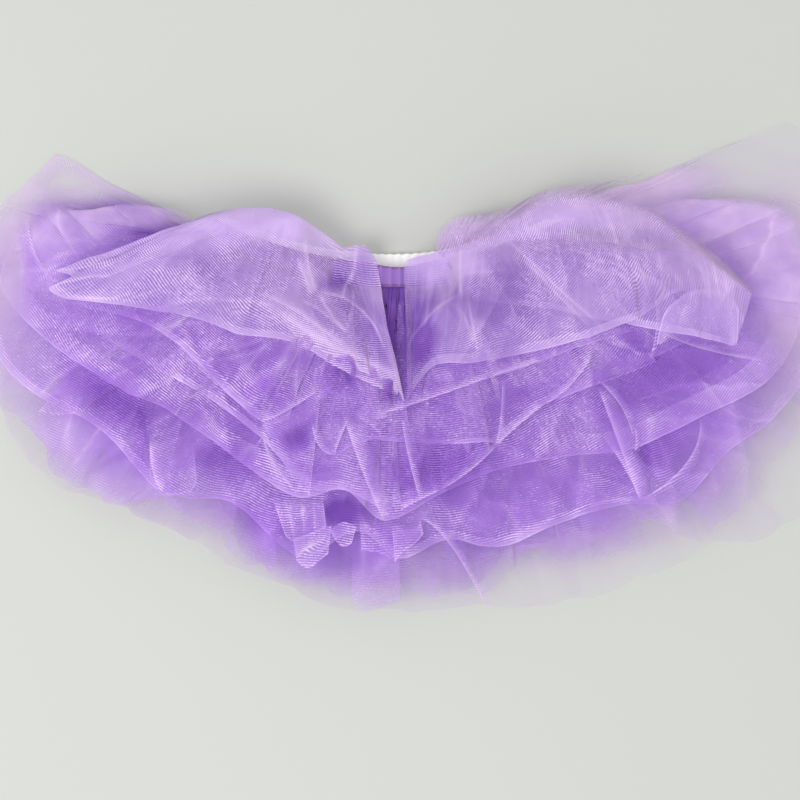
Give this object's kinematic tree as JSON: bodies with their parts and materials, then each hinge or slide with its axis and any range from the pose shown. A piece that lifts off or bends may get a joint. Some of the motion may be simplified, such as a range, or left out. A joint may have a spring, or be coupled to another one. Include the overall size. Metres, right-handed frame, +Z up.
{
  "type": "tulle skirt",
  "caption": "Child's tutu of gathered net tiers on an elastic waistband, laid flat and fanned out on a surface.",
  "frame": {"origin": "on the surface, under the middle of the skirt's box", "axes": "+Y towards the waistband, +X to the right as seen from above with the waistband away from the viewer, +Z up"},
  "size_m": [0.537, 0.2995, 0.0703],
  "materials": {
    "net": "soft lilac tulle with a faint glitter, see-through in one layer",
    "pale_net": "the same lilac tulle in a single layer, very pale and see-through",
    "inner_net": "many layers of the tulle, dense and deeper in colour",
    "casing": "pinkish lilac gathered casing, matte",
    "elastic": "cream knitted elastic, matte"
  },
  "bodies": {
    "root": {"waistband_front": "casing", "waistband_back": "elastic", "top_tier_left": "net", "top_tier_right": "net", "second_tier": "net", "third_tier": "net", "fourth_tier": "net", "fifth_tier": "net", "inner_layers": "inner_net", "back_tier": "pale_net", "floor_tier": "pale_net"}
  },
  "joints": []
}
